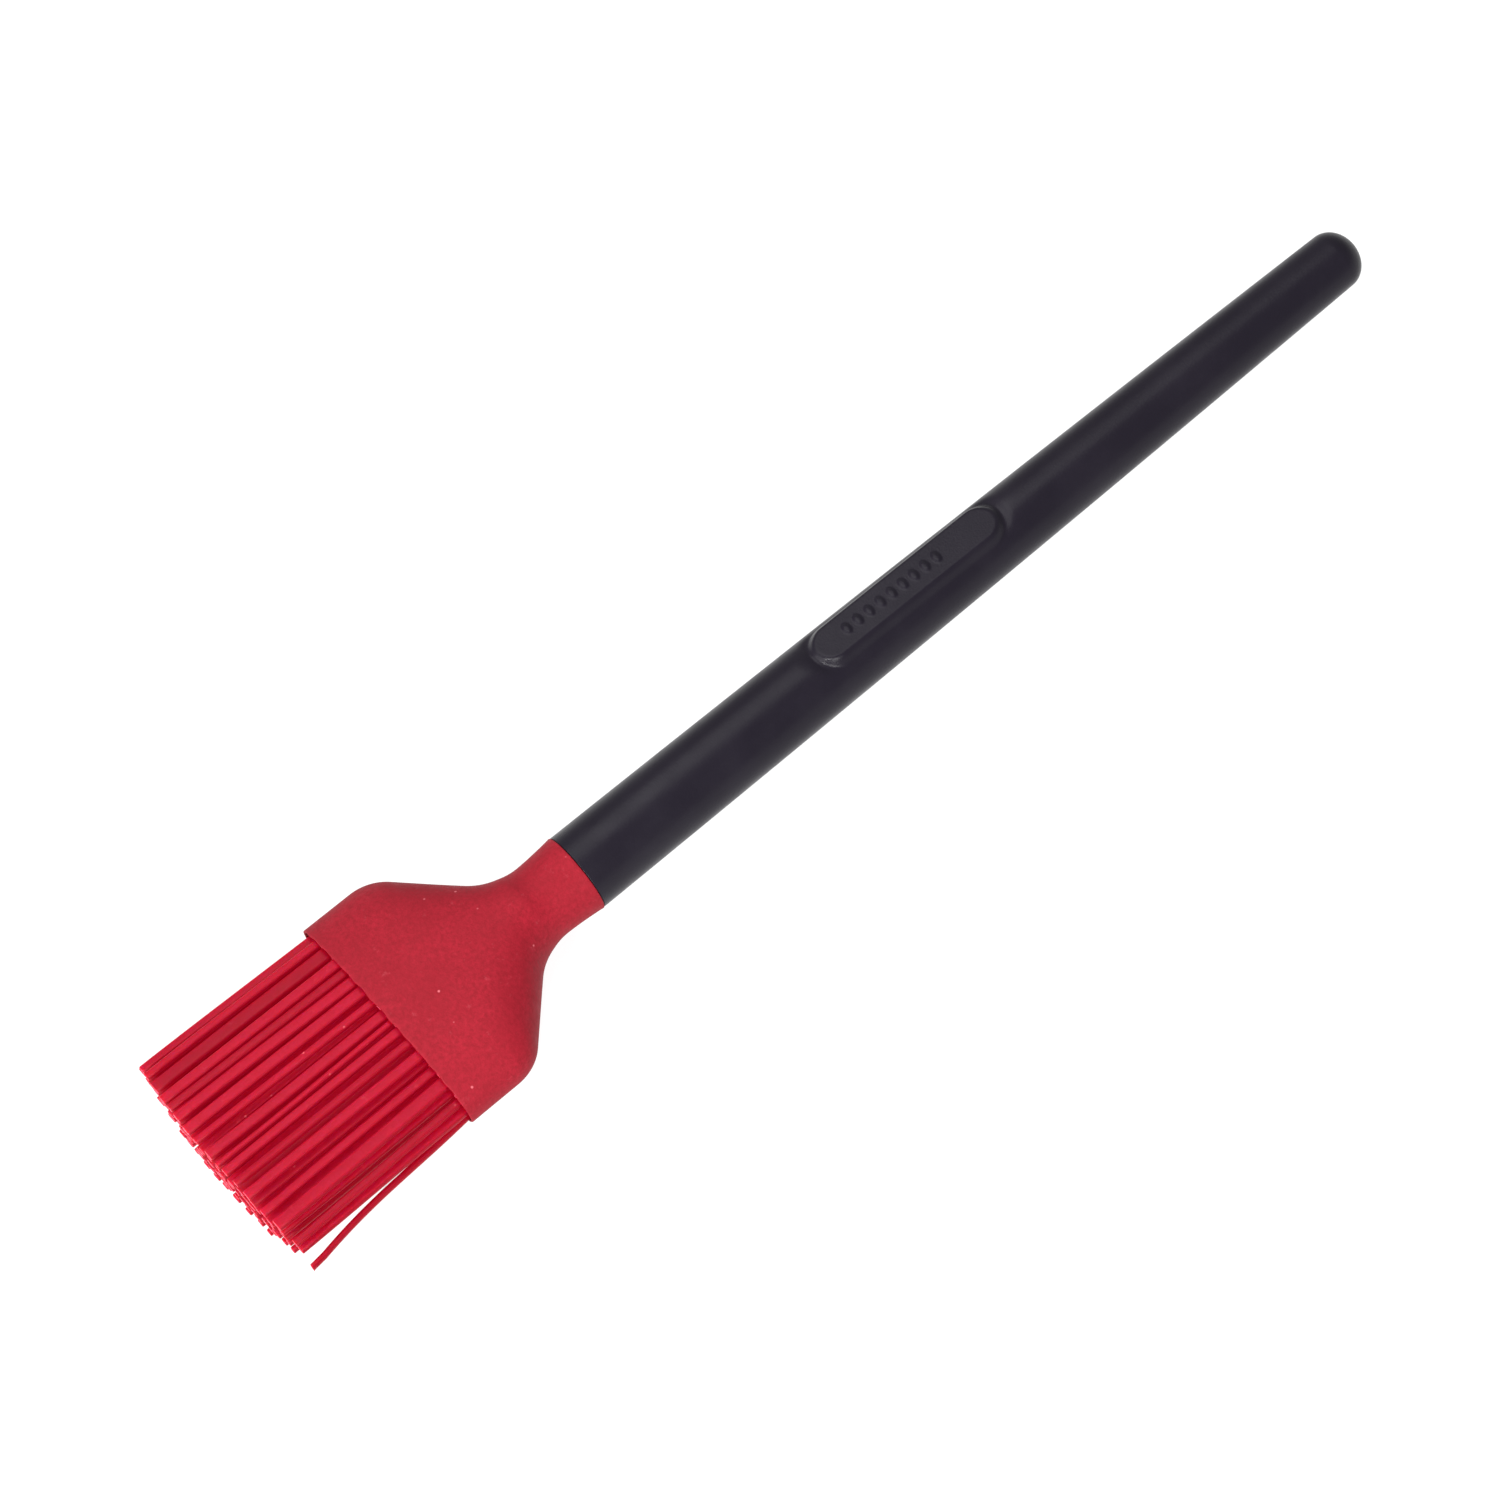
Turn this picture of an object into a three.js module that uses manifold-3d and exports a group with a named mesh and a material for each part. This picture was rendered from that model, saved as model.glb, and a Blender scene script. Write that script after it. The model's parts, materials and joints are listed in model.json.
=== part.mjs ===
// Pastry brush: a black nylon handle with a flat-sided peg, a red silicone boot that pushes onto
// the peg, and seven combs of silicone bristles seated in a holder behind the boot's mouth.
//
// Millimetres, +Z up. The brush lies on its back: +Y runs from the bristle tips to the butt of the
// handle, and the origin is under the middle of its length, on the surface that it lies on.
// "Depth" is the distance behind the boot's mouth, towards the butt.

import * as THREE from "three";
import { mergeVertices } from "three/addons/utils/BufferGeometryUtils.js";
import Module from "manifold-3d";

const wasm = await Module();
wasm.setup();

// ---------- driving dimensions ----------

const GAP = 0.3; // left between pieces that touch

// lengths along the brush
const BRISTLE_REACH = 39.8; // mouth of the boot to the bristle tips
const BOOT_LENGTH = 43.6; // mouth of the boot to the handle's shoulder
const GRIP_LENGTH = 182.8; // handle's shoulder to its butt
const TOTAL_LENGTH = BRISTLE_REACH + BOOT_LENGTH + GRIP_LENGTH;

// boot
const MOUTH_HALF_WIDTH = 24.9;
const BOOT_HALF_THICKNESS = 9.0;
const MOUTH_EXPONENT = 2.3; // superellipse exponent of the mouth; the neck is a circle
const BELLY_CROWN = 0.25; // planed off each broad face, which leaves it flat down the middle
const SKIRT_LENGTH = 10.5; // straight stretch behind the mouth
const SKIRT_TAPER = 0.1; // loss of half width along it
const SHOULDER_RADIUS = 9.3;
const FLANK_ANGLE = THREE.MathUtils.degToRad(48.4); // of the straight flank, from the long axis
const NECK_RADIUS = 7.3; // the waist, just in front of the handle
const THROAT_RADIUS = 11.7; // concave arc between the flank and the waist
const LIP_WALL = 0.5;
const POCKET_DEPTH = 11.3;

// peg of the handle, and its bore in the boot
const PEG_LENGTH = 30;
const PEG_ROOT_RADIUS = 5.2;
const PEG_TIP_RADIUS = 4.9;
const PEG_NOSE = 1.5; // rounding of the peg's tip
const PEG_HALF_FLATS = 4.4; // the flats on its two sides stop the head from turning

// grip
const GRIP_FRONT_RADIUS = 7.75;
const GRIP_BUTT_RADIUS = 5.5;
const GRIP_SWELL = 0.32; // extra radius at mid length over a straight taper
const BUTT_CAP_LENGTH = 4.7;

// flat raised pad on the upper side of the grip
const PAD_LENGTH = 41;
const PAD_WIDTH = 7.3;
const PAD_FROM_SHOULDER = 78; // shoulder to the middle of the pad
const PAD_RISE = 0.25; // above the crest of the grip
const MOAT_WIDTH = 1.3; // shallow moat around the pad's ends
const MOAT_DEPTH = 0.45;

// bristles: one comb per row, from the lowest row to the highest
const ROW_COUNTS = [10, 14, 16, 17, 16, 14, 10];
const ROW_HALF_SPREADS = [12.3, 18.9, 21.7, 22.7, 21.7, 18.9, 12.3]; // row's middle to its last bristle
const ROW_PITCH = 2.2;
const BRISTLE_WIDTH = 2.2;
const BRISTLE_THICKNESS = 1.4;
const TIP_SHRINK = 0.94; // of a bristle's section, from root to tip
const TIP_SPREAD = 1.04; // the tips' spread over the roots', across the brush
const TIP_LIFT = 0.25; // extra rise of each row's tips, for each row out from the middle one
const TIP_CROWN = 2.2; // how much shorter the outermost bristles are than the middle ones
const BEAD_DEPTH = 0.9; // depth of the combs' root beads, which the rows bend about
const BEAD_RADIUS = BRISTLE_THICKNESS / 2;
const SEAT_RADIUS = 0.95; // grooves of the holder that the beads sit in
const HOLDER_FACE_DEPTH = 1.15;

const RING_SIDES = 60; // facets around the boot
const ROUND_SIDES = 48; // facets around the grip and the peg
const BEAD_SIDES = 16;

// ---------- places worked out from them ----------

const TIP_Y = -TOTAL_LENGTH / 2;
const MOUTH_Y = TIP_Y + BRISTLE_REACH;
const SHOULDER_Y = MOUTH_Y + BOOT_LENGTH;
const BUTT_Y = SHOULDER_Y + GRIP_LENGTH;
const AXIS_Z = BOOT_HALF_THICKNESS;
const PAD_Y = SHOULDER_Y + PAD_FROM_SHOULDER;
const PAD_SHARE = PAD_FROM_SHOULDER / GRIP_LENGTH;
const BEAD_Y = MOUTH_Y + BEAD_DEPTH;

// ---------- materials ----------

function plastic(colour, roughness) {
  return new THREE.MeshStandardMaterial({ color: colour, roughness, metalness: 0 });
}

const nylonBlack = plastic(0x2d2c34, 0.55);
const siliconeBoot = plastic(0xb42b3a, 0.7);
const siliconeBristle = plastic(0xcd1e32, 0.45);
const nylonRed = plastic(0xa0202c, 0.6);

// ---------- closed geometry and solids ----------

// A geometry's triangles on shared vertices, as a manifold solid.
function solidOf(geometry) {
  const bare = geometry.clone();
  bare.deleteAttribute("normal");
  bare.deleteAttribute("uv");
  const merged = mergeVertices(bare, 1e-4);
  const index = merged.index.array;
  const triangles = [];
  for (let i = 0; i < index.length; i += 3) {
    const [a, b, c] = [index[i], index[i + 1], index[i + 2]];
    if (a !== b && b !== c && c !== a) {
      triangles.push(a, b, c);
    }
  }
  return new wasm.Manifold(new wasm.Mesh({
    numProp: 3,
    vertProperties: new Float32Array(merged.attributes.position.array),
    triVerts: new Uint32Array(triangles),
  }));
}

// A solid as a flat-shaded named mesh.
function meshOf(name, solid, material) {
  const { vertProperties, triVerts } = solid.getMesh();
  const geometry = new THREE.BufferGeometry();
  geometry.setAttribute("position", new THREE.BufferAttribute(vertProperties, 3));
  geometry.setIndex(new THREE.BufferAttribute(triVerts, 1));
  const mesh = new THREE.Mesh(geometry, material);
  mesh.name = name;
  return mesh;
}

// A closed skin over rings of equal length, listed along +Y, each convex and turning from +X to +Z.
function loft(rings) {
  const sides = rings[0].length;
  const points = rings.flat();
  const index = [];
  for (let r = 0; r + 1 < rings.length; r += 1) {
    for (let i = 0; i < sides; i += 1) {
      const next = (i + 1) % sides;
      const [a, b] = [r * sides + i, r * sides + next];
      const [c, d] = [a + sides, b + sides];
      index.push(a, c, b, b, c, d);
    }
  }
  const last = (rings.length - 1) * sides;
  for (let i = 1; i + 1 < sides; i += 1) {
    index.push(0, i, i + 1);
    index.push(last, last + i + 1, last + i);
  }
  const geometry = new THREE.BufferGeometry().setFromPoints(points);
  geometry.setIndex(index);
  return geometry;
}

// A superellipse ring at y, with its two broad faces planed flat by the given depth.
function superellipse(y, halfWidth, halfThickness, exponent, planed) {
  const ring = [];
  for (let i = 0; i < RING_SIDES; i += 1) {
    const turn = (i / RING_SIDES) * 2 * Math.PI;
    const [c, s] = [Math.cos(turn), Math.sin(turn)];
    const x = halfWidth * Math.sign(c) * Math.abs(c) ** (2 / exponent);
    const z = (halfThickness + planed) * Math.sign(s) * Math.abs(s) ** (2 / exponent);
    ring.push(new THREE.Vector3(x, y, AXIS_Z + THREE.MathUtils.clamp(z, -halfThickness, halfThickness)));
  }
  return ring;
}

// A solid of revolution about the brush's long axis from points of (radius, y).
function turned(profile, sides) {
  const geometry = new THREE.LatheGeometry(profile, sides);
  geometry.translate(0, 0, AXIS_Z);
  return solidOf(geometry);
}

function box(width, length, height, x, y, z) {
  const geometry = new THREE.BoxGeometry(width, length, height);
  geometry.translate(x, y, z);
  return solidOf(geometry);
}

// ---------- boot ----------

// Half width of the boot against depth: skirt, shoulder arc, straight flank, throat arc, flare.
function bootOutline() {
  const shoulderHalf = MOUTH_HALF_WIDTH - SKIRT_TAPER;
  const shoulderRun = SHOULDER_RADIUS * Math.sin(FLANK_ANGLE);
  const shoulderDrop = SHOULDER_RADIUS * (1 - Math.cos(FLANK_ANGLE));
  const throatRun = THROAT_RADIUS * Math.sin(FLANK_ANGLE);
  const throatDrop = THROAT_RADIUS * (1 - Math.cos(FLANK_ANGLE));
  const flankDrop = shoulderHalf - NECK_RADIUS - shoulderDrop - throatDrop;
  const flankRun = flankDrop / Math.tan(FLANK_ANGLE);
  const waistDepth = SKIRT_LENGTH + shoulderRun + flankRun + throatRun;
  const up = Math.PI / 2;

  const path = new THREE.Path();
  path.moveTo(0, MOUTH_HALF_WIDTH);
  path.lineTo(SKIRT_LENGTH, shoulderHalf);
  path.absarc(SKIRT_LENGTH, shoulderHalf - SHOULDER_RADIUS, SHOULDER_RADIUS, up, up - FLANK_ANGLE, true);
  path.absarc(waistDepth, NECK_RADIUS + THROAT_RADIUS, THROAT_RADIUS, -up - FLANK_ANGLE, -up, false);
  path.quadraticCurveTo(waistDepth + 3, NECK_RADIUS, BOOT_LENGTH - GAP, GRIP_FRONT_RADIUS);
  return path.getPoints(8);
}

// The boot's section goes from the flat mouth to the round neck as its outline narrows.
function bootRing(depth, halfWidth) {
  const roundness = THREE.MathUtils.smoothstep(depth, SKIRT_LENGTH, BOOT_LENGTH - 8);
  const neckHalf = Math.min(halfWidth, GRIP_FRONT_RADIUS);
  const halfThickness = THREE.MathUtils.lerp(BOOT_HALF_THICKNESS, neckHalf, roundness);
  const exponent = THREE.MathUtils.lerp(MOUTH_EXPONENT, 2, roundness);
  const planed = BELLY_CROWN * (1 - roundness);
  return superellipse(MOUTH_Y + depth, halfWidth, halfThickness, exponent, planed);
}

// A straight block with the mouth's section, inset from the boot's outside.
function mouthBlock(inset, fromDepth, toDepth) {
  const halfWidth = MOUTH_HALF_WIDTH - SKIRT_TAPER - inset;
  const halfThickness = BOOT_HALF_THICKNESS - inset;
  const ring = (depth) =>
    superellipse(MOUTH_Y + depth, halfWidth, halfThickness, MOUTH_EXPONENT, BELLY_CROWN);
  return solidOf(loft([ring(fromDepth), ring(toDepth)]));
}

function makeBoot() {
  const shell = solidOf(loft(bootOutline().map((point) => bootRing(point.x, point.y))));
  const pocket = mouthBlock(LIP_WALL, -1, POCKET_DEPTH);
  return meshOf("boot", shell.subtract(pocket).subtract(pegSolid(GAP)), siliconeBoot);
}

// ---------- handle ----------

// The peg, grown all round by the given clearance; it runs on a little into the grip.
function pegSolid(clearance) {
  const rootRadius = PEG_ROOT_RADIUS + clearance;
  const tipRadius = PEG_TIP_RADIUS + clearance;
  const tipY = SHOULDER_Y - PEG_LENGTH - clearance;
  const profile = [new THREE.Vector2(0, tipY)];
  for (let i = 0; i <= 4; i += 1) {
    const turn = (i / 4) * (Math.PI / 2);
    const radius = tipRadius - PEG_NOSE * (1 - Math.sin(turn));
    profile.push(new THREE.Vector2(radius, tipY + PEG_NOSE * (1 - Math.cos(turn))));
  }
  profile.push(new THREE.Vector2(rootRadius, SHOULDER_Y));
  profile.push(new THREE.Vector2(rootRadius, SHOULDER_Y + 1));
  profile.push(new THREE.Vector2(0, SHOULDER_Y + 1));
  const flats = 2 * (PEG_HALF_FLATS + clearance);
  const slab = box(flats, PEG_LENGTH * 3, BOOT_HALF_THICKNESS * 2, 0, SHOULDER_Y, AXIS_Z);
  return turned(profile, ROUND_SIDES).intersect(slab);
}

// Radius of the grip at a share, 0 to 1, of the way from its shoulder to its butt.
function gripRadius(share) {
  const straight = THREE.MathUtils.lerp(GRIP_FRONT_RADIUS, GRIP_BUTT_RADIUS, share);
  return straight + GRIP_SWELL * 4 * share * (1 - share);
}

function gripSolid() {
  const capStart = 1 - BUTT_CAP_LENGTH / GRIP_LENGTH;
  const capRadius = gripRadius(capStart);
  const profile = [new THREE.Vector2(0, SHOULDER_Y)];
  for (let i = 0; i <= 14; i += 1) {
    const share = (i / 14) * capStart;
    profile.push(new THREE.Vector2(gripRadius(share), SHOULDER_Y + share * GRIP_LENGTH));
  }
  for (let i = 1; i <= 8; i += 1) {
    const turn = (i / 8) * (Math.PI / 2);
    const y = BUTT_Y - BUTT_CAP_LENGTH * (1 - Math.sin(turn));
    profile.push(new THREE.Vector2(capRadius * Math.cos(turn), y));
  }
  return turned(profile, ROUND_SIDES);
}

// Rise of the grip's crest per unit of length, at a share of the way along it.
function gripSlope(share) {
  return (GRIP_BUTT_RADIUS - GRIP_FRONT_RADIUS + GRIP_SWELL * 4 * (1 - 2 * share)) / GRIP_LENGTH;
}

// A block with a stadium outline, square to the grip's crest at the middle of the pad. Its bottom
// and top are measured from the crest.
function stadiumBlock(length, width, bottom, top) {
  const radius = width / 2;
  const straight = length / 2 - radius;
  const shape = new THREE.Shape();
  shape.moveTo(radius, -straight);
  shape.lineTo(radius, straight);
  shape.absarc(0, straight, radius, 0, Math.PI, false);
  shape.lineTo(-radius, -straight);
  shape.absarc(0, -straight, radius, Math.PI, 2 * Math.PI, false);
  const geometry = new THREE.ExtrudeGeometry(shape, {
    depth: top - bottom,
    bevelEnabled: false,
    curveSegments: 10,
  });
  geometry.translate(0, 0, bottom);
  geometry.rotateX(Math.atan(gripSlope(PAD_SHARE)));
  geometry.translate(0, PAD_Y, AXIS_Z + gripRadius(PAD_SHARE));
  return solidOf(geometry);
}

function makeHandle() {
  const grown = 2 * MOAT_WIDTH;
  const moat = stadiumBlock(PAD_LENGTH + grown, PAD_WIDTH + grown, -MOAT_DEPTH, 2);
  const pad = stadiumBlock(PAD_LENGTH, PAD_WIDTH, -GRIP_BUTT_RADIUS, PAD_RISE);
  const solid = gripSolid().add(pegSolid(0)).subtract(moat).add(pad);
  return meshOf("handle", solid, nylonBlack);
}

// ---------- bristles ----------

const MIDDLE_ROW = (ROW_COUNTS.length - 1) / 2;

function rowZ(row) {
  return AXIS_Z + (row - MIDDLE_ROW) * ROW_PITCH;
}

// The block that fills the boot's pocket, with a half-round groove for each comb's bead.
function makeHolder() {
  let solid = mouthBlock(LIP_WALL + GAP, HOLDER_FACE_DEPTH, POCKET_DEPTH - GAP);
  ROW_HALF_SPREADS.forEach((spread, row) => {
    const halfLength = spread + BRISTLE_WIDTH / 2 + GAP;
    solid = solid.subtract(rodAlongX(SEAT_RADIUS, halfLength, rowZ(row)));
  });
  return meshOf("bristle_holder", solid, nylonRed);
}

function rodAlongX(radius, halfLength, z) {
  const geometry = new THREE.CylinderGeometry(radius, radius, 2 * halfLength, BEAD_SIDES);
  geometry.rotateZ(Math.PI / 2);
  geometry.translate(0, BEAD_Y, z);
  return solidOf(geometry);
}

// A rectangle in an XZ plane, as a ring for the loft.
function rectangle(x, y, z, width, thickness) {
  const corners = [[1, -1], [1, 1], [-1, 1], [-1, -1]];
  return corners.map(([i, k]) => new THREE.Vector3(x + (i * width) / 2, y, z + (k * thickness) / 2));
}

// One comb: a round root bead and a row of tapered bristles, fanned out towards the tips.
function makeComb(row) {
  const count = ROW_COUNTS[row];
  const spread = ROW_HALF_SPREADS[row];
  const rootZ = rowZ(row);
  const tipZ = rootZ + (row - MIDDLE_ROW) * TIP_LIFT;
  let solid = rodAlongX(BEAD_RADIUS, spread + BRISTLE_WIDTH / 2, rootZ);
  for (let i = 0; i < count; i += 1) {
    const x = THREE.MathUtils.lerp(-spread, spread, i / (count - 1));
    const tipY = TIP_Y + TIP_CROWN * (x / MOUTH_HALF_WIDTH) ** 2;
    const [tipWidth, tipThickness] = [BRISTLE_WIDTH * TIP_SHRINK, BRISTLE_THICKNESS * TIP_SHRINK];
    const tip = rectangle(x * TIP_SPREAD, tipY, tipZ, tipWidth, tipThickness);
    const root = rectangle(x, BEAD_Y, rootZ, BRISTLE_WIDTH, BRISTLE_THICKNESS);
    solid = solid.add(solidOf(loft([tip, root])));
  }
  return meshOf(`bristle_comb_${row + 1}`, solid, siliconeBristle);
}

// ---------- the brush ----------

const head = new THREE.Group();
head.add(makeBoot(), makeHolder());
ROW_COUNTS.forEach((count, row) => head.add(makeComb(row)));

const brush = new THREE.Group();
brush.add(makeHandle(), head);

export default brush;
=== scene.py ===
"""Looks of the pastry brush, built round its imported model. Metres, in the model's frame."""

import json
import math
import random

import bpy
from mathutils import Matrix, Vector


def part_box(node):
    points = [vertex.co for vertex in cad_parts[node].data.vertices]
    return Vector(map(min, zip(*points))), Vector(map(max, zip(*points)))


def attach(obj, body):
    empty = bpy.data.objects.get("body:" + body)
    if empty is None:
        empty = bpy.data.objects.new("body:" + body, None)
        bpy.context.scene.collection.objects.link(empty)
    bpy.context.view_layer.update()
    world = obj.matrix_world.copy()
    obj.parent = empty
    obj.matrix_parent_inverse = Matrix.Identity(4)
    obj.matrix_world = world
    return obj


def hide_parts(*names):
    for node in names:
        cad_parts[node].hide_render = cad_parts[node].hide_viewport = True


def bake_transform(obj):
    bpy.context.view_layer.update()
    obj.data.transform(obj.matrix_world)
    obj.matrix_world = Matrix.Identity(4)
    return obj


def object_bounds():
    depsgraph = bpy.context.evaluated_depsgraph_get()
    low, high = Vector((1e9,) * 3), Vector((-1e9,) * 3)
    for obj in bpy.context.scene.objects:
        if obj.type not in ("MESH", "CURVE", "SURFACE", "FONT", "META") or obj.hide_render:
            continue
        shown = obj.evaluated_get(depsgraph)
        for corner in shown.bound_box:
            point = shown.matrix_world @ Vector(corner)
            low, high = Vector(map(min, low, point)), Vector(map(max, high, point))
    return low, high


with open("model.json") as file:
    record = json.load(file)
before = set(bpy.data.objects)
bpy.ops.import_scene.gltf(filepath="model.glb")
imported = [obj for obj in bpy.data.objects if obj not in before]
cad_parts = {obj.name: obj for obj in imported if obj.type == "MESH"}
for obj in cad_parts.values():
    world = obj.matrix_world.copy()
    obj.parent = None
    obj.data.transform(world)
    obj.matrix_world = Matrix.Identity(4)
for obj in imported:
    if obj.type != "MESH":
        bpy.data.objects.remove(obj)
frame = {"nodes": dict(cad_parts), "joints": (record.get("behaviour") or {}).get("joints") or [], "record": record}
CAD_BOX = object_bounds()

MM = 0.001

# ---------- places, from the frame ----------

BOOT_LOW, BOOT_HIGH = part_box("boot")
HANDLE_LOW, HANDLE_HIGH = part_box("handle")
ROW_COUNT = 7
COMBS = [f"bristle_comb_{row}" for row in range(1, ROW_COUNT + 1)]
MIDDLE_ROW = ROW_COUNT // 2
BEADS = [Vector(j["pos_m"]) for j in frame["joints"] if j["name"].startswith("bristle_bend")]

AXIS_Z = (BOOT_LOW.z + BOOT_HIGH.z) / 2
MOUTH_Y = BOOT_LOW.y
TIP_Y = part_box(COMBS[MIDDLE_ROW])[0].y
PEG_TIP_Y = HANDLE_LOW.y
BUTT_Y = HANDLE_HIGH.y

# ---------- sizes ----------

# boot
MOUTH_HALF_WIDTH = BOOT_HIGH.x
BOOT_HALF_THICKNESS = AXIS_Z
MOUTH_EXPONENT = 2.3
SKIRT_LENGTH = 10.5 * MM
SKIRT_TAPER = 0.1 * MM
SHOULDER_RADIUS = 9.3 * MM
FLANK_ANGLE = math.radians(48.4)
NECK_RADIUS = 7.3 * MM
THROAT_RADIUS = 11.7 * MM
LIP_WALL = 0.5 * MM
LIP_ROUNDING = 0.24 * MM
LIP_WAVE = 0.09 * MM  # the bristles press faint scallops into the lip
LIP_WAVE_LENGTH = 4 * MM
LIP_WAVE_REACH = 3 * MM
RIM_ROUNDING = 0.2 * MM
NECK_PROUD = 0.1 * MM  # the neck's end stands this far over the grip
SEAM_GAP = 0.08 * MM
POCKET_DEPTH = 11.3 * MM
NECK_LENGTH = 7.7 * MM  # the boot is round along this stretch up to the grip
FLARE_POWER = 1.6  # how late the neck flares out to the grip

# peg and its bore
PEG_ROOT_RADIUS = 5.2 * MM
PEG_TIP_RADIUS = 4.9 * MM
PEG_NOSE = 1.5 * MM
PEG_HALF_FLATS = 4.4 * MM
PEG_CLEARANCE = 0.3 * MM
PEG_COLLAR = 0.2 * MM  # round step at the peg's root, where its flats end
BORE_CHAMFER = 0.2 * MM

# grip
GRIP_LENGTH = 182.8 * MM
SHOULDER_Y = BUTT_Y - GRIP_LENGTH
NECK_END_Y = SHOULDER_Y - SEAM_GAP
GRIP_FRONT_RADIUS = HANDLE_HIGH.x
NECK_END_RADIUS = GRIP_FRONT_RADIUS + NECK_PROUD
GRIP_BUTT_RADIUS = 5.5 * MM
GRIP_SWELL = 0.32 * MM
BUTT_CAP_LENGTH = 4.7 * MM
SHOULDER_ROUNDING = 0.15 * MM

# pad on the grip, and its row of bars
PAD_MIDDLE = Vector(next(m for m in frame["record"]["mounts"] if m["name"] == "label_pad")["pos_m"])
PAD_LENGTH = 41 * MM
PAD_WIDTH = 7.3 * MM
PAD_FLANK = 1.7 * MM  # width of the slope round the pad
MOAT_DEPTH = 0.5 * MM
MOAT_WIDTH = 2.4 * MM
MOAT_SIDE_SHARE = 0.35  # its depth along the pad's sides over its depth round the ends
BAR_COUNT = 9
BAR_PITCH = 2.6 * MM
BAR_RADIUS = 0.9 * MM
BAR_STRETCH = 1.7  # length across the pad over width
BAR_RISE = 0.3 * MM
BAR_ROW_SHIFT = -3.2 * MM

# bristles
ROW_BRISTLES = [10, 14, 16, 17, 16, 14, 10]
BRISTLE_WIDTH = 2.2 * MM
BRISTLE_THICKNESS = 1.4 * MM
BRISTLE_ROUNDING = 0.5 * MM
TIP_SHRINK = 0.94  # size of a bristle's section at its tip over that at its root
TIP_SPREAD = 1.04  # width of a row at its tips over that at its roots
TIP_LIFT = 0.25 * MM  # how much further apart the rows are at their tips
ROW_SPLAY = 0.1 * MM  # how far each row out from the middle one is pushed out of line at the lip
SLIMMEST = 0.45  # width of the slimmest bristles over the widest ones
BRISTLE_GAP = 0.95 * MM  # on average, at the lip
TIP_CROWN = 2.2 * MM  # how much shorter the bristles are at the mouth's full width than in its middle
TIP_TRIM = 0.3 * MM  # how unevenly the tips are cut
TIP_EDGE = 0.9  # size of a tip's flat end over the bristle's section there
TIP_ROUNDING = 0.12 * MM
BEAD_ROUNDING = 0.3 * MM

# what use has done to the bristles: the usual and the greatest offset
ROOT_SCATTER = (0.16 * MM, 0.26 * MM)
TIP_SCATTER_X = (0.25 * MM, 0.45 * MM)
TIP_SCATTER_Z = (0.1 * MM, 0.2 * MM)
BOW_SCATTER_X = (0.15 * MM, 0.25 * MM)
BOW_SCATTER_Z = (0.08 * MM, 0.15 * MM)
TWIST_SCATTER = (6, 12)  # degrees, for the widest bristle

# one thin bristle at the end of its row that has sprung outwards
STRAY_ROW = 2
STRAY_WIDTH = 1.25 * MM
STRAY_ROOT_SHIFT = 0.5 * MM
STRAY_LEAN = 4.2 * MM
STRAY_BOW = 0.35  # how far it is bowed back towards its row, over its lean


# ---------- camera, light and floor ----------

VIEW_LEAN = math.radians(28.5)  # how far the brush's face is turned aside from the camera
VIEW_PITCH = math.radians(9.5)  # how far its tips are nearer than its butt
VIEW_SLOPE = math.radians(38.97)  # how steeply it rises across the picture
VIEW_DISTANCE = 1.4
VIEW_FIELD = 0.2675  # side of the square seen at that distance
VIEW_AIM = Vector((0.0027, -0.0118, AXIS_Z))
WORLD_STRENGTH = 0.62
FLOOR_HALF = 3.0
FLOOR_DROP = 0.1 * MM  # under the brush, so that the two don't meet
FLOOR_GREY = 0.2
FLOOR_GLOW = 0.88  # light of the floor's own, which keeps it white right up to the brush


def add_camera():
    lean, pitch, slope = VIEW_LEAN, VIEW_PITCH, VIEW_SLOPE
    leaning = Vector((math.sin(lean), 0, math.cos(lean)))
    towards = leaning * math.cos(pitch) - Vector((0, 1, 0)) * math.sin(pitch)
    along = leaning * math.sin(pitch) + Vector((0, 1, 0)) * math.cos(pitch)
    across = towards.cross(along)
    right = along * math.cos(slope) - across * math.sin(slope)
    up = along * math.sin(slope) + across * math.cos(slope)
    data = bpy.data.cameras.new("camera")
    data.lens = data.sensor_width * VIEW_DISTANCE / VIEW_FIELD
    data.clip_start = 0.01
    camera = bpy.data.objects.new("camera", data)
    bpy.context.scene.collection.objects.link(camera)
    turn = Matrix((right, up, towards)).transposed()
    camera.matrix_world = Matrix.Translation(VIEW_AIM + towards * VIEW_DISTANCE) @ turn.to_4x4()
    bpy.context.scene.camera = camera


def add_softbox(name, place, size, power):
    data = bpy.data.lights.new(name, "AREA")
    data.shape = "RECTANGLE"
    data.size, data.size_y = size
    data.energy = power
    lamp = bpy.data.objects.new(name, data)
    bpy.context.scene.collection.objects.link(lamp)
    lamp.location = place
    lamp.visible_camera = False
    aim = Vector((0, 0, AXIS_Z)) - Vector(place)
    lamp.rotation_euler = aim.to_track_quat("-Z", "Y").to_euler()


def light_studio():
    world = bpy.data.worlds.new("studio")
    world.use_nodes = True
    background = world.node_tree.nodes["Background"]
    background.inputs["Color"].default_value = (1, 1, 1, 1)
    background.inputs["Strength"].default_value = WORLD_STRENGTH
    bpy.context.scene.world = world
    add_softbox("key_light", (-0.2, -1.0, 0.55), (0.8, 0.8), 7)
    add_softbox("top_light", (-0.35, -0.1, 1.2), (1.0, 1.0), 9)
    add_softbox("fill_light", (0.8, -0.5, 0.45), (0.4, 0.4), 7)
    add_softbox("small_light", (0.42, -0.8, 0.7), (0.12, 0.12), 7)
    bpy.context.scene.view_settings.view_transform = "Standard"


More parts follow.
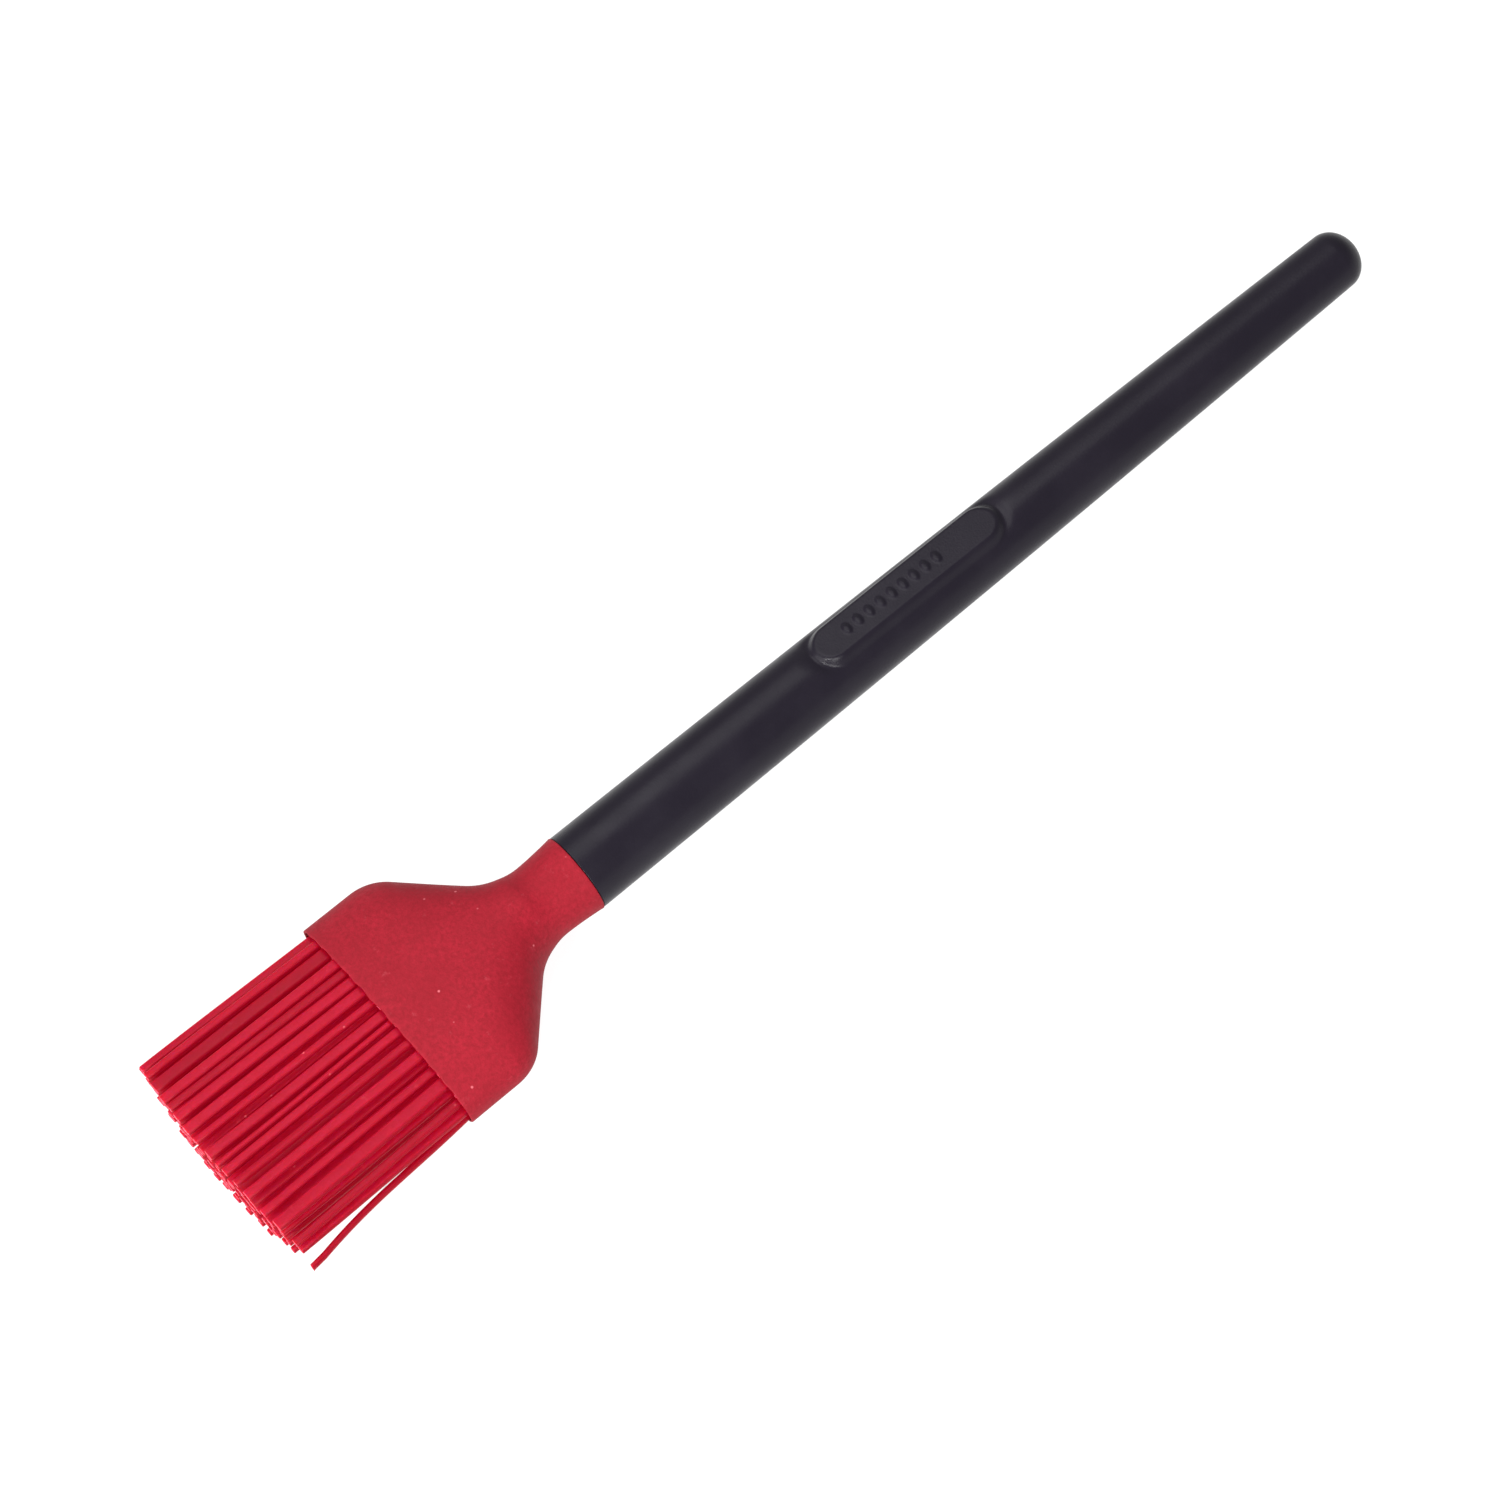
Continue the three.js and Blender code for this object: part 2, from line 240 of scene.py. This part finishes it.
def add_floor():
    half = FLOOR_HALF
    corners = [(-half, -half, 0), (half, -half, 0), (half, half, 0), (-half, half, 0)]
    mesh = bpy.data.meshes.new("floor")
    mesh.from_pydata(corners, [], [(0, 1, 2, 3)])
    floor = bpy.data.objects.new("floor", mesh)
    bpy.context.scene.collection.objects.link(floor)
    floor.location.z = CAD_BOX[0][2] - FLOOR_DROP
    material, shader = new_material("floor_paper")
    shader.inputs["Base Color"].default_value = (FLOOR_GREY, FLOOR_GREY, FLOOR_GREY, 1)
    shader.inputs["Roughness"].default_value = 0.9
    shader.inputs["Emission Color"].default_value = (1, 1, 1, 1)
    shader.inputs["Emission Strength"].default_value = FLOOR_GLOW
    mesh.materials.append(material)


# ---------- materials ----------

DUST_COLOUR = (0.5, 0.1, 0.12)
# painted light: the colour that the bristles' tip ends are paled towards
TIP_PAINTED_LIGHT_COLOUR = (0.52, 0.045, 0.08)
# painted shade: the colour that the bristles' sides, and each bristle by a random amount, are darkened towards
PAINTED_SHADE_COLOUR = (0.13, 0.0005, 0.006)


def new_material(name):
    material = bpy.data.materials.new(name)
    material.use_nodes = True
    return material, material.node_tree.nodes["Principled BSDF"]


def noise_of(tree, size, detail=3.0, roughness=0.55):
    """Noise whose features are about that size, in metres."""
    place = tree.nodes.new("ShaderNodeTexCoord")
    texture = tree.nodes.new("ShaderNodeTexNoise")
    texture.inputs["Scale"].default_value = 1 / size
    texture.inputs["Detail"].default_value = detail
    texture.inputs["Roughness"].default_value = roughness
    tree.links.new(place.outputs["Object"], texture.inputs["Vector"])
    return texture.outputs["Fac"]


def spread(tree, value, low, high, to_low, to_high):
    """value, mapped from low..high to to_low..to_high and held within them."""
    node = tree.nodes.new("ShaderNodeMapRange")
    node.inputs["From Min"].default_value = low
    node.inputs["From Max"].default_value = high
    node.inputs["To Min"].default_value = to_low
    node.inputs["To Max"].default_value = to_high
    tree.links.new(value, node.inputs["Value"])
    return node.outputs["Result"]


def mix_colours(tree, share, first, second):
    """first where share is 0, second where it is 1. Each is a colour or a socket."""
    node = tree.nodes.new("ShaderNodeMix")
    node.data_type = "RGBA"
    tree.links.new(share, node.inputs["Factor"])
    for socket, colour in ((node.inputs[6], first), (node.inputs[7], second)):
        if isinstance(colour, bpy.types.NodeSocket):
            tree.links.new(colour, socket)
        else:
            socket.default_value = (*colour, 1)
    return node.outputs[2]


def bump(tree, height, depth, normal=None):
    node = tree.nodes.new("ShaderNodeBump")
    node.inputs["Distance"].default_value = depth
    tree.links.new(height, node.inputs["Height"])
    if normal is not None:
        tree.links.new(normal, node.inputs["Normal"])
    return node.outputs["Normal"]


def specks(tree, spacing, size):
    """1 in sparse small round specks of dust, 0 between them."""
    place = tree.nodes.new("ShaderNodeTexCoord")
    cells = tree.nodes.new("ShaderNodeTexVoronoi")
    cells.inputs["Scale"].default_value = 1 / spacing
    cells.inputs["Randomness"].default_value = 1
    tree.links.new(place.outputs["Object"], cells.inputs["Vector"])
    return spread(tree, cells.outputs["Distance"], size * 0.5 / spacing, size / spacing, 1, 0)


def facing(tree, axis, low, high):
    """0 to 1 as the surface's own normal goes from low to high along an axis of the brush."""
    place = tree.nodes.new("ShaderNodeTexCoord")
    axes = tree.nodes.new("ShaderNodeSeparateXYZ")
    tree.links.new(place.outputs["Normal"], axes.inputs["Vector"])
    return spread(tree, axes.outputs[axis], low, high, 0, 1)


def silicone(name, colour, deep_colour, roughness, gloss):
    """Rubbery red silicone: mottled, with a fine mould grain, faint scuffs and a few specks of dust.

    Returns the material, its shader and the socket of its colour.
    """
    material, shader = new_material(name)
    tree = material.node_tree
    cloud = spread(tree, noise_of(tree, 9 * MM, 4), 0.35, 0.65, 0, 0.6)
    body = mix_colours(tree, cloud, colour, deep_colour)
    mottle = spread(tree, noise_of(tree, 0.8 * MM, 3, 0.7), 0.35, 0.65, 0, 1)
    body = mix_colours(tree, mottle, body, deep_colour)
    scuffs = spread(tree, noise_of(tree, 2.5 * MM, 8, 0.75), 0.6, 0.75, 0, 0.3)
    body = mix_colours(tree, scuffs, body, DUST_COLOUR)
    dusty = mix_colours(tree, specks(tree, 4.5 * MM, 0.3 * MM), body, DUST_COLOUR)
    tree.links.new(dusty, shader.inputs["Base Color"])
    rough = spread(tree, noise_of(tree, 2.5 * MM, 5), 0.3, 0.7, roughness - 0.05, roughness + 0.06)
    tree.links.new(rough, shader.inputs["Roughness"])
    waves = bump(tree, noise_of(tree, 4 * MM, 2), 0.06 * MM)
    grain = bump(tree, noise_of(tree, 0.5 * MM, 2), 0.05 * MM, waves)
    tree.links.new(grain, shader.inputs["Normal"])
    shader.inputs["Specular IOR Level"].default_value = gloss
    return material, shader, dusty


def boot_silicone():
    colours = (0.295, 0.0080, 0.0198), (0.215, 0.0053, 0.0128)
    material, _, _ = silicone("boot_silicone", *colours, 0.62, 0.14)
    return material


def bristle_silicone():
    """Silicone thin enough for light to soak through, with painted shade on the bristles' sides and, by a random
    amount, on each bristle, painted light on the cut tip ends and a faint painted glow.
    """
    colours = (0.265, 0.0027, 0.0185), (0.22, 0.0018, 0.0135)
    material, shader, body = silicone("bristle_silicone", *colours, 0.45, 0.11)
    tree = material.node_tree
    bristle = tree.nodes.new("ShaderNodeNewGeometry").outputs["Random Per Island"]
    # painted shade, darker by a random amount on each bristle
    body = mix_colours(tree, spread(tree, bristle, 0.3, 1, 0, 0.6), body, PAINTED_SHADE_COLOUR)
    # painted shade on the bristles' sides, which face along X
    for side in (1, -1):
        body = mix_colours(tree, facing(tree, "X", 0.3 * side, 0.95 * side), body, PAINTED_SHADE_COLOUR)
    # painted light on the tip ends, which face the key light
    body = mix_colours(tree, facing(tree, "Y", -0.6, -0.95), body, TIP_PAINTED_LIGHT_COLOUR)
    tree.links.new(body, shader.inputs["Base Color"])
    shader.inputs["Subsurface Weight"].default_value = 0.8
    shader.inputs["Subsurface Radius"].default_value = (1, 0.12, 0.1)
    shader.inputs["Subsurface Scale"].default_value = 3 * MM
    # painted light: a faint red glow of the silicone's own, which lifts the shade between the bristles
    shader.inputs["Emission Color"].default_value = (1, 0.002, 0.03, 1)
    shader.inputs["Emission Strength"].default_value = 0.175
    return material


def nylon(name, colour, worn_colour):
    """Matte moulded nylon: a fine spark-eroded grain and faint rubbed patches."""
    material, shader = new_material(name)
    tree = material.node_tree
    rubbed = spread(tree, noise_of(tree, 14 * MM, 5, 0.65), 0.45, 0.75, 0, 1)
    tree.links.new(mix_colours(tree, rubbed, colour, worn_colour), shader.inputs["Base Color"])
    rough = spread(tree, noise_of(tree, 5 * MM, 5), 0.3, 0.7, 0.28, 0.38)
    tree.links.new(rough, shader.inputs["Roughness"])
    grain = bump(tree, noise_of(tree, 0.35 * MM, 2), 0.03 * MM)
    tree.links.new(grain, shader.inputs["Normal"])
    shader.inputs["Specular IOR Level"].default_value = 0.16
    return material


BOOT_SILICONE = boot_silicone()
BRISTLE_SILICONE = bristle_silicone()
HANDLE_NYLON = nylon("handle_nylon", (0.0075, 0.0056, 0.0108), (0.0105, 0.0082, 0.0142))
HOLDER_NYLON = nylon("holder_nylon", (0.24, 0.008, 0.016), (0.20, 0.007, 0.014))


# ---------- mesh building ----------


def smoothstep(value, low, high):
    t = min(max((value - low) / (high - low), 0), 1)
    return t * t * (3 - 2 * t)


def lerp(low, high, share):
    return low + (high - low) * share


def arc(centre, radius, start, end, steps):
    """Points of an arc in a plane, from angle start to angle end."""
    turns = [lerp(start, end, i / steps) for i in range(steps + 1)]
    return [(centre[0] + radius * math.cos(t), centre[1] + radius * math.sin(t)) for t in turns]


def skin_faces(ring_count, sides, first=0):
    """Faces of a closed skin over equal rings, with a flat cap on each end."""
    faces = []
    for r in range(ring_count - 1):
        low = first + r * sides
        for i in range(sides):
            j = (i + 1) % sides
            faces.append((low + i, low + sides + i, low + sides + j, low + j))
    last = first + (ring_count - 1) * sides
    faces.append(tuple(range(first, first + sides)))
    faces.append(tuple(range(last + sides - 1, last - 1, -1)))
    return faces


def skinned(name, skins, material):
    """A smooth object from skins, each a list of rings that turn from +X to +Z along +Y."""
    points, faces = [], []
    for rings in skins:
        faces += skin_faces(len(rings), len(rings[0]), len(points))
        points += [point for ring in rings for point in ring]
    mesh = bpy.data.meshes.new(name)
    mesh.from_pydata(points, [], faces)
    mesh.materials.append(material)
    mesh.shade_smooth()
    piece = bpy.data.objects.new(name, mesh)
    bpy.context.scene.collection.objects.link(piece)
    return piece


def round_ring(y, radius, sides, flats=math.inf):
    """A circle round the brush's axis, cut by a flat on its left and on its right."""
    ring = []
    for i in range(sides):
        turn = 2 * math.pi * i / sides
        x = min(max(radius * math.cos(turn), -flats), flats)
        ring.append((x, y, AXIS_Z + radius * math.sin(turn)))
    return ring


# ---------- boot ----------

BOOT_SIDES = 180


def lip_wave(depth, turn):
    """Rise of the lip's scallops at a place round the mouth; they fade out along the skirt."""
    across = MOUTH_HALF_WIDTH * math.cos(turn)
    fade = 1 - smoothstep(depth, 0, LIP_WAVE_REACH)
    place = across / LIP_WAVE_LENGTH
    wave = math.sin(2 * math.pi * place) + 0.6 * math.sin(5.1 * place)  # two waves out of step
    return LIP_WAVE * wave * fade * abs(math.sin(turn))


def boot_half_widths():
    """Depth behind the mouth and half width: skirt, shoulder arc, flank, throat arc, flare."""
    shoulder_half = MOUTH_HALF_WIDTH - SKIRT_TAPER
    run, drop = math.sin(FLANK_ANGLE), 1 - math.cos(FLANK_ANGLE)
    flank_drop = shoulder_half - NECK_RADIUS - (SHOULDER_RADIUS + THROAT_RADIUS) * drop
    flank_run = flank_drop / math.tan(FLANK_ANGLE)
    waist = SKIRT_LENGTH + (SHOULDER_RADIUS + THROAT_RADIUS) * run + flank_run
    up = math.pi / 2
    neck_depth = NECK_END_Y - MOUTH_Y
    points = [(SKIRT_LENGTH * i / 10, MOUTH_HALF_WIDTH - SKIRT_TAPER * i / 10) for i in range(10)]
    shoulder = (SKIRT_LENGTH, shoulder_half - SHOULDER_RADIUS)
    points += arc(shoulder, SHOULDER_RADIUS, up, up - FLANK_ANGLE, 14)
    start = points[-1]
    throat = (waist, NECK_RADIUS + THROAT_RADIUS)
    bend = arc(throat, THROAT_RADIUS, -up - FLANK_ANGLE, -up, 16)
    points += [(lerp(start[0], bend[0][0], i / 8), lerp(start[1], bend[0][1], i / 8)) for i in range(1, 8)]
    points += bend
    for i in range(1, 11):
        depth = lerp(waist, neck_depth, i / 10)
        points.append((depth, lerp(NECK_RADIUS, NECK_END_RADIUS, (i / 10) ** FLARE_POWER)))
    return points


def superellipse(y, half_width, half_thickness, exponent):
    ring = []
    for i in range(BOOT_SIDES):
        turn = 2 * math.pi * i / BOOT_SIDES
        c, s = math.cos(turn), math.sin(turn)
        x = half_width * math.copysign(abs(c) ** (2 / exponent), c)
        z = half_thickness * math.copysign(abs(s) ** (2 / exponent), s)
        ring.append((x, y, AXIS_Z + z))
    return ring


def boot_ring(depth, half_width, inset=0.0):
    """A ring of the boot, oval at the mouth and round at the neck, drawn in by inset."""
    neck_start = NECK_END_Y - MOUTH_Y - NECK_LENGTH
    roundness = smoothstep(depth, SKIRT_LENGTH, neck_start)
    half_thickness = lerp(BOOT_HALF_THICKNESS, min(half_width, NECK_END_RADIUS), roundness)
    exponent = lerp(MOUTH_EXPONENT, 2, roundness)
    ring = superellipse(MOUTH_Y + depth, half_width - inset, half_thickness - inset, exponent)
    waves = [lip_wave(depth, 2 * math.pi * i / BOOT_SIDES) for i in range(BOOT_SIDES)]
    return [(x, y + wave, z + math.copysign(wave / 2, z - AXIS_Z)) for (x, y, z), wave in zip(ring, waves)]


def pocket_rings():
    depths = [POCKET_DEPTH, POCKET_DEPTH * 0.97, POCKET_DEPTH / 2, 1.5 * MM]
    return [boot_ring(depth, MOUTH_HALF_WIDTH, LIP_WALL) for depth in depths]


def lip_rings():
    """From the pocket's wall round the lip to the outside."""
    quarter = arc((0, 0), LIP_ROUNDING, math.pi, math.pi / 2, 5)
    places = [(along, LIP_WALL - LIP_ROUNDING + out) for along, out in quarter[::-1]]
    places += [(along, LIP_ROUNDING - out) for along, out in quarter]
    return [boot_ring(LIP_ROUNDING + along, MOUTH_HALF_WIDTH, inset) for along, inset in places]


def outside_rings():
    half_widths = boot_half_widths()
    neck_depth, neck_half = half_widths[-1]
    rim_start = neck_depth - RIM_ROUNDING
    rings = [boot_ring(depth, half) for depth, half in half_widths if LIP_ROUNDING * 2 < depth < rim_start]
    for along, out in arc((0, 0), RIM_ROUNDING, math.pi / 2, 0, 6):
        rings.append(boot_ring(rim_start + along, neck_half, RIM_ROUNDING - out))
    return rings


def bore_rings():
    """The flat-sided bore for the peg, closing in a little from its mouth to its chamfered end."""
    flats = PEG_HALF_FLATS + PEG_CLEARANCE
    radius = PEG_ROOT_RADIUS + PEG_CLEARANCE
    end = PEG_TIP_Y - PEG_CLEARANCE
    return [
        round_ring(NECK_END_Y, radius + BORE_CHAMFER, BOOT_SIDES, flats + BORE_CHAMFER),
        round_ring(NECK_END_Y - BORE_CHAMFER, radius, BOOT_SIDES, flats),
        round_ring(lerp(NECK_END_Y, end, 0.5), radius - 0.1 * MM, BOOT_SIDES, flats),
        round_ring(end + 1 * MM, radius - 0.3 * MM, BOOT_SIDES, flats),
        round_ring(end, radius - 1.5 * MM, BOOT_SIDES, flats),
    ]


def make_boot():
    rings = pocket_rings() + lip_rings() + outside_rings() + bore_rings()
    boot = skinned("silicone_boot", [rings], BOOT_SILICONE)
    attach(boot, "head")
    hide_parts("boot")


# ---------- handle ----------

GRIP_SIDES = 240
FINE_STEP = 0.22 * MM  # between rings at the pad
COARSE_STEP = 1.5 * MM  # between rings elsewhere
PAD_MARGIN = 3 * MM
CAP_STEPS = 24
CAP_TIP_RADIUS = 0.05 * MM


def grip_radius(y):
    """A straight taper with a slight swell, which is fullest half way along."""
    share = (y - SHOULDER_Y) / GRIP_LENGTH
    straight = lerp(GRIP_FRONT_RADIUS, GRIP_BUTT_RADIUS, share)
    return straight + GRIP_SWELL * 4 * share * (1 - share)


def pad_distance(x, along):
    """Distance outside the pad's stadium outline; negative inside it."""
    straight = PAD_LENGTH / 2 - PAD_WIDTH / 2
    return math.hypot(x, max(abs(along) - straight, 0)) - PAD_WIDTH / 2


def bar_height(x, along):
    nearest = round((along - BAR_ROW_SHIFT) / BAR_PITCH)
    if abs(nearest) > BAR_COUNT // 2:
        return 0
    distance = math.hypot(x / BAR_STRETCH, along - BAR_ROW_SHIFT - nearest * BAR_PITCH)
    return BAR_RISE * (1 - smoothstep(distance, BAR_RADIUS * 0.4, BAR_RADIUS))


def moat_depth(along, outside, z, radius):
    """Depth of the moat at a place; it fades out down the grip's sides."""
    half_width = MOAT_WIDTH / 2
    depth = MOAT_DEPTH * math.exp(-((outside - half_width) / half_width) ** 2)
    depth *= smoothstep(z, radius * 0.6, radius * 0.95)
    ends = smoothstep(abs(along), PAD_LENGTH / 2 - PAD_WIDTH / 2, PAD_LENGTH / 2)
    return depth * lerp(MOAT_SIDE_SHARE, 1, ends)


def grip_point(y, turn):
    """A point of the grip's surface, with the pad, its moat and the bars worked into the top."""
    radius = grip_radius(y)
    x, z = radius * math.cos(turn), radius * math.sin(turn)
    along = y - PAD_MIDDLE.y
    if z <= 0 or abs(along) > PAD_LENGTH:
        return x, y, AXIS_Z + z
    outside = pad_distance(x, along)
    slope = (grip_radius(y + MM) - grip_radius(y - MM)) / (2 * MM)
    top = PAD_MIDDLE.z - AXIS_Z + slope * along
    ground = z - moat_depth(along, outside, z, radius)
    on_pad = 1 - smoothstep(outside, -PAD_FLANK * 0.3, PAD_FLANK * 0.7)
    return x, y, AXIS_Z + lerp(ground, top + bar_height(x, along), on_pad)


def grip_ring(y):
    return [grip_point(y, 2 * math.pi * i / GRIP_SIDES) for i in range(GRIP_SIDES)]


def peg_rings():
    rings = []
    for along, out in arc((0, 0), PEG_NOSE, math.pi, math.pi / 2, 8):
        radius = PEG_TIP_RADIUS - PEG_NOSE + out
        rings.append(round_ring(PEG_TIP_Y + PEG_NOSE + along, radius, GRIP_SIDES, PEG_HALF_FLATS))
    for share in (0.25, 0.5, 0.75, 0.99, 1):
        y = lerp(PEG_TIP_Y + PEG_NOSE, SHOULDER_Y, share)
        radius = lerp(PEG_TIP_RADIUS, PEG_ROOT_RADIUS, share)
        rings.append(round_ring(y, radius, GRIP_SIDES, PEG_HALF_FLATS))
    rings.append(round_ring(SHOULDER_Y, PEG_ROOT_RADIUS + PEG_COLLAR, GRIP_SIDES))
    return rings


def shoulder_rings():
    inside = grip_radius(SHOULDER_Y) - SHOULDER_ROUNDING
    rings = []
    for along, out in arc((0, 0), SHOULDER_ROUNDING, math.pi, math.pi / 2, 5):
        rings.append(round_ring(SHOULDER_Y + SHOULDER_ROUNDING + along, inside + out, GRIP_SIDES))
    return rings


def grip_rings(start, end):
    """Rings along the grip, close together where the pad is."""
    reach = PAD_LENGTH / 2 + PAD_MARGIN
    rings = []
    y = start
    while y < end:
        rings.append(grip_ring(y))
        y += FINE_STEP if abs(y - PAD_MIDDLE.y) < reach else COARSE_STEP
    return rings


def butt_rings(start):
    rings = []
    for i in range(CAP_STEPS):
        turn = math.pi / 2 * i / CAP_STEPS
        y = start + BUTT_CAP_LENGTH * math.sin(turn)
        rings.append(round_ring(y, grip_radius(start) * math.cos(turn), GRIP_SIDES))
    rings.append(round_ring(BUTT_Y, CAP_TIP_RADIUS, GRIP_SIDES))
    return rings


def make_handle():
    cap_start = BUTT_Y - BUTT_CAP_LENGTH
    rings = peg_rings() + shoulder_rings()
    rings += grip_rings(SHOULDER_Y + 2 * SHOULDER_ROUNDING, cap_start)
    rings += butt_rings(cap_start)
    handle = skinned("nylon_handle", [rings], HANDLE_NYLON)
    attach(handle, "handle")
    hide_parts("handle")


# ---------- bristles ----------

BRISTLE_RINGS = 26
CORNER_STEPS = 4
BEAD_SIDES = 24


def bristle_outline(width, thickness, rounding):
    """A rounded rectangle about the origin, turning from +X to +Z."""
    points = []
    for corner, (i, k) in enumerate(((1, 1), (-1, 1), (-1, -1), (1, -1))):
        centre = (i * (width / 2 - rounding), k * (thickness / 2 - rounding))
        start = corner * math.pi / 2
        points += arc(centre, rounding, start, start + math.pi / 2, CORNER_STEPS)
    return points


def bristle_skin(root, tip, width, thickness, bow, twist):
    """Rings of one bristle from its tip to its root, bowed aside and twisted a little."""
    rings = []
    for r in range(BRISTLE_RINGS):
        share = r / (BRISTLE_RINGS - 1)
        reach = 1 - share
        middle = tip.lerp(root, share) + bow * math.sin(math.pi * reach) * reach
        size = lerp(1, TIP_SHRINK, reach)
        if r == 0:
            size *= TIP_EDGE
        elif r == 1:
            middle.y = tip.y + TIP_ROUNDING
        outline = bristle_outline(width * size, thickness * size, BRISTLE_ROUNDING)
        c, s = math.cos(twist * reach), math.sin(twist * reach)
        rings.append([(middle.x + x * c - z * s, middle.y, middle.z + x * s + z * c) for x, z in outline])
    return rings


def bead_skin(centre, half_length):
    """Rings of the comb's root bead, a rod along X with rounded ends, listed along X."""
    full = BRISTLE_THICKNESS / 2
    straight = half_length - BEAD_ROUNDING
    turns = [2 * math.pi * i / BEAD_SIDES for i in range(BEAD_SIDES)]
    ends = [(-half_length, 0.7 * full), (-straight, full), (straight, full), (half_length, 0.7 * full)]
    rings = []
    for x, radius in ends:
        rings.append([
            (centre.x + x, centre.y - radius * math.cos(turn), centre.z + radius * math.sin(turn))
            for turn in turns
        ])
    return rings


def held(draw, usual, limit):
    """A random offset that is mostly within usual and never past limit."""
    return min(max(draw.gauss(0, usual), -limit), limit)


def bristle_places(row, draw):
    """The middle and width of each bristle of a row: wide and slim ones, packed side by side."""
    count = ROW_BRISTLES[row]
    half = (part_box(COMBS[row])[1].x - BRISTLE_WIDTH * TIP_SHRINK / 2) / TIP_SPREAD + BRISTLE_WIDTH / 2
    shares = [lerp(1, SLIMMEST, draw.uniform(0, 1) ** 1.6) for _ in range(count)]
    gaps = [BRISTLE_GAP * draw.uniform(0.3, 1.7) for _ in range(count)]
    scale = (2 * half - sum(gaps[1:])) / sum(shares)
    places, edge = [], -half - gaps[0]
    for share, gap in zip(shares, gaps):
        width = share * scale
        places.append((edge + gap + width / 2, width))
        edge += gap + width
    return places


def comb_bristle(row, x, width, draw):
    """Root, tip, section, bow and twist of one bristle, as use has left it."""
    bead = BEADS[row]
    out = row - MIDDLE_ROW
    thickness = BRISTLE_THICKNESS * draw.uniform(0.9, 1.05)
    root = Vector((x, bead.y, bead.z + out * ROW_SPLAY + held(draw, *ROOT_SCATTER)))
    trim = TIP_CROWN * (x / MOUTH_HALF_WIDTH) ** 2 + draw.uniform(0, TIP_TRIM)
    tip = Vector((x * TIP_SPREAD, TIP_Y + trim, root.z + out * (TIP_LIFT - ROW_SPLAY)))
    tip.x += held(draw, *TIP_SCATTER_X)
    tip.z += held(draw, *TIP_SCATTER_Z)
    bow = Vector((held(draw, *BOW_SCATTER_X), 0, held(draw, *BOW_SCATTER_Z)))
    twist = math.radians(held(draw, *TWIST_SCATTER) * BRISTLE_WIDTH / width)
    return root, tip, width, thickness, bow, twist


def sprung(bristle):
    """That bristle, made thin and sprung outwards."""
    root, tip, width, thickness, bow, twist = bristle
    root.x += (width - STRAY_WIDTH) / 2 + STRAY_ROOT_SHIFT
    tip.x = root.x + STRAY_LEAN
    bow.x = -STRAY_LEAN * STRAY_BOW
    return root, tip, STRAY_WIDTH, thickness, bow, twist


def make_comb(row, draw):
    bead = BEADS[row]
    places = bristle_places(row, draw)
    last_x, last_width = places[-1]
    bristles = [comb_bristle(row, x, width, draw) for x, width in places]
    if row == STRAY_ROW:
        bristles[-1] = sprung(bristles[-1])
    skins = [bead_skin(bead, last_x + last_width / 2)]
    skins += [bristle_skin(*bristle) for bristle in bristles]
    comb = skinned(f"silicone_bristles_{row + 1}", skins, BRISTLE_SILICONE)
    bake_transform(comb)
    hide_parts(COMBS[row])


def finish_holder():
    holder = frame["nodes"]["bristle_holder"]
    holder.data.materials.clear()
    holder.data.materials.append(HOLDER_NYLON)


# ---------- the scene ----------

add_camera()
light_studio()
add_floor()
make_boot()
make_handle()
dice = random.Random(11)
for comb_row in range(len(COMBS)):
    make_comb(comb_row, dice)
finish_holder()
